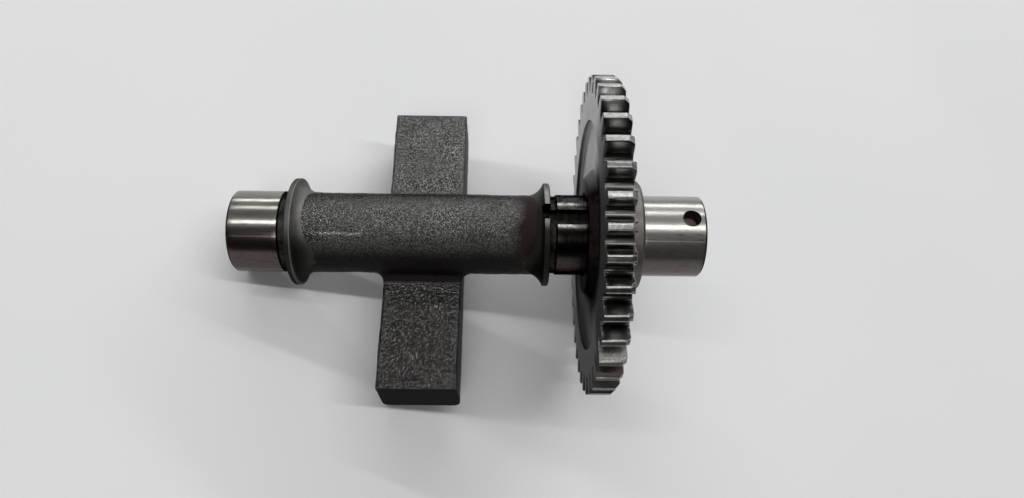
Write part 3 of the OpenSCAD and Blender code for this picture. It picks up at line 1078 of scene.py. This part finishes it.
def gear_mesh(materials):
    """The gear as rings of points: over inner side, teeth, outer side and hub, from bore to bore."""
    radius, angle, kinds = tooth_outline()
    count = len(radius)
    y, z = radius * np.sin(angle), radius * np.cos(angle)
    along = np.c_[np.roll(y, -1) - np.roll(y, 1), np.roll(z, -1) - np.roll(z, 1)]
    along /= np.linalg.norm(along, axis=1)[:, None]
    inward = np.c_[along[:, 1], -along[:, 0]]
    rings, kinds_of_band = [], []

    def toothed(x, inset, kind, limit=math.inf):
        """Ring along the teeth; kind is None where each tooth's own surfaces follow."""
        py, pz = y + inward[:, 0] * inset, z + inward[:, 1] * inset
        r = np.hypot(py, pz)
        shrink = np.minimum(1, limit / r)
        rings.append(np.c_[np.full(count, x), py * shrink, pz * shrink])
        kinds_of_band.append(kind)

    def profile(points):
        """Round rings along a profile."""
        line, tags = refined(*eased(points), GEAR_STEP)
        for (x, r), tag in zip(line[1:-1], tags[1:]):
            rings.append(np.c_[np.full(count, x), r * np.sin(angle), r * np.cos(angle)])
            kinds_of_band.append(tag)

    profile(inner_side())
    bend = EDGE_ROUND * EDGE
    toothed(GEAR_X, EDGE, SIDE)
    toothed(GEAR_X + bend, bend, SIDE)
    toothed(GEAR_X + EDGE, 0, None)
    chamfer_x = RIM_END - TIP_CHAMFER
    toothed(GEAR_X + 0.5 * (chamfer_x - GEAR_X), 0, None)
    for k in range(CHAMFER_STEPS + 1):
        x = chamfer_x + (TIP_CHAMFER - EDGE) * k / CHAMFER_STEPS
        toothed(x, 0, None, TIP_R - (x - chamfer_x))
    kinds_of_band[-1] = SIDE
    toothed(RIM_END - bend, bend, SIDE, TIP_R - TIP_CHAMFER + bend)
    toothed(RIM_END, EDGE, SIDE, TIP_R - TIP_CHAMFER)
    profile(outer_side())
    verts = np.vstack(rings)
    total = len(rings)
    faces, tags = [], []
    for k, kind in enumerate(kinds_of_band):
        up = (k + 1) % total
        for j in range(count):
            n = (j + 1) % count
            faces.append((k * count + j, k * count + n, up * count + n, up * count + j))
            tags.append(kinds[j] if kind is None else kind)
    mesh = mesh_of("gear", verts.tolist(), faces, tags)
    keyway_low = (BOSS_X - 1, -KEYWAY_W / 2, 0)
    keyway_high = (HUB_END + 1, KEYWAY_W / 2, KEY_TOP)
    keyway = box_mesh("hub_keyway", keyway_low, keyway_high, BORE)
    return combined(mesh, [keyway], "DIFFERENCE", materials)


# Pieces

def finished(name, mesh, node):
    """A piece of the object from a mesh in shaft millimetres."""
    mesh.name = name
    spot = mesh.attributes.new("shaft_co", "FLOAT_VECTOR", "POINT")
    spot.data.foreach_set("vector", positions(mesh).ravel())
    mesh.transform(TO_WORLD)
    mesh.shade_smooth()
    mesh.set_sharp_from_angle(angle=math.radians(SHARP_ANGLE))
    obj = bpy.data.objects.new(name, mesh)
    bpy.context.scene.collection.objects.link(obj)
    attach(obj, "root")
    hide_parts(node)


SHAFT_LOOKS = (cast_look, ground_look, turned_look, seat_look, cut_look, end_look, hole_look)
GEAR_LOOKS = (side_look, flank_look, tip_look, hub_look, cut_look, boss_look, rim_look)
shaft_materials = [look() for look in SHAFT_LOOKS]
gear_materials = [look() for look in GEAR_LOOKS]
finished("shaft_skin", shaft_mesh(shaft_materials), "balance_shaft")
finished("gear_skin", gear_mesh(gear_materials), "drive_gear")
key = frame["nodes"]["gear_key"]
key.data.materials.clear()
key.data.materials.append(key_look())


# Floor, light and camera

def in_world(point):
    """Where a point in shaft millimetres lies in the row frame."""
    return TO_WORLD @ Vector(point)


def floor():
    """Plain pale floor, wide enough for every view."""
    low, high = -FLOOR_HALF, FLOOR_HALF
    corners = [(low, low, 0), (high, low, 0), (high, high, 0), (low, high, 0)]
    mesh = mesh_of("floor", corners, [(0, 1, 2, 3)], [0])
    mesh.materials.append(floor_look())
    obj = bpy.data.objects.new("floor", mesh)
    bpy.context.scene.collection.objects.link(obj)


def strip(name, lean, width, length, power, shift):
    """Soft strip light along the shaft.

    lean is its angle in degrees from the keyway's side towards the far side, and shift is how many
    millimetres its middle lies to the right of the shaft's.
    """
    light = bpy.data.lights.new(name, "AREA")
    light.shape = "RECTANGLE"
    light.size = length
    light.size_y = width
    light.energy = power
    obj = bpy.data.objects.new(name, light)
    bpy.context.scene.collection.objects.link(obj)
    a = math.radians(lean)
    away = Vector((0, math.sin(a), math.cos(a)))
    right = Vector((1, 0, 0))
    pose = Matrix((right, away.cross(right), away)).transposed()
    middle = in_world((SHAFT_LEN / 2 + shift, 0, 0))
    spot = middle + TURN @ away * LIGHT_DISTANCE
    obj.matrix_world = Matrix.Translation(spot) @ (TURN @ pose).to_4x4()


def surroundings():
    """Dim even surroundings, brighter on the far side."""
    world = bpy.data.worlds.new("studio")
    bpy.context.scene.world = world
    world.use_nodes = True
    tree = world.node_tree
    tree.nodes.clear()
    out = tree.nodes.new("ShaderNodeOutputWorld")
    back = tree.nodes.new("ShaderNodeBackground")
    coord = tree.nodes.new("ShaderNodeTexCoord")
    axes = tree.nodes.new("ShaderNodeSeparateXYZ")
    spread = tree.nodes.new("ShaderNodeMapRange")
    spread.interpolation_type = "SMOOTHSTEP"
    tree.links.new(coord.outputs["Generated"], axes.inputs["Vector"])
    tree.links.new(axes.outputs["Y"], spread.inputs["Value"])
    spread.inputs["From Min"].default_value = SKY_NEAR
    spread.inputs["From Max"].default_value = SKY_FAR
    spread.inputs["To Min"].default_value = SKY_NEAR_LEVEL
    spread.inputs["To Max"].default_value = SKY_FAR_LEVEL
    tree.links.new(spread.outputs["Result"], back.inputs["Strength"])
    back.inputs["Color"].default_value = (1.0, 1.0, 1.0, 1.0)
    tree.links.new(back.outputs["Background"], out.inputs["Surface"])


def camera():
    """Pinhole camera at the photograph's viewing angle."""
    data = bpy.data.cameras.new("camera")
    data.sensor_fit = "HORIZONTAL"
    data.sensor_width = SENSOR_MM
    data.lens = FOCAL_PX / IMAGE_PX * SENSOR_MM
    data.clip_start = CLIP_START
    data.clip_end = CLIP_END
    obj = bpy.data.objects.new("camera", data)
    bpy.context.scene.collection.objects.link(obj)
    pose = Matrix((LOOK_RIGHT, -LOOK_DOWN, -LOOK_FORWARD)).transposed()
    turn = (TURN @ pose).to_quaternion().to_matrix().to_4x4()
    obj.matrix_world = Matrix.Translation(in_world(EYE)) @ turn
    bpy.context.scene.camera = obj


floor()
strip("overhead", lean=-1, width=0.05, length=1.9, power=6.8, shift=480)
strip("far_high", lean=43, width=0.05, length=1.9, power=3.6, shift=480)
strip("far_low", lean=71, width=0.06, length=1.9, power=5, shift=480)
strip("near_soft", lean=-38, width=0.26, length=0.28, power=1.4, shift=-97)
surroundings()
camera()
bpy.context.scene.view_settings.view_transform = "Standard"
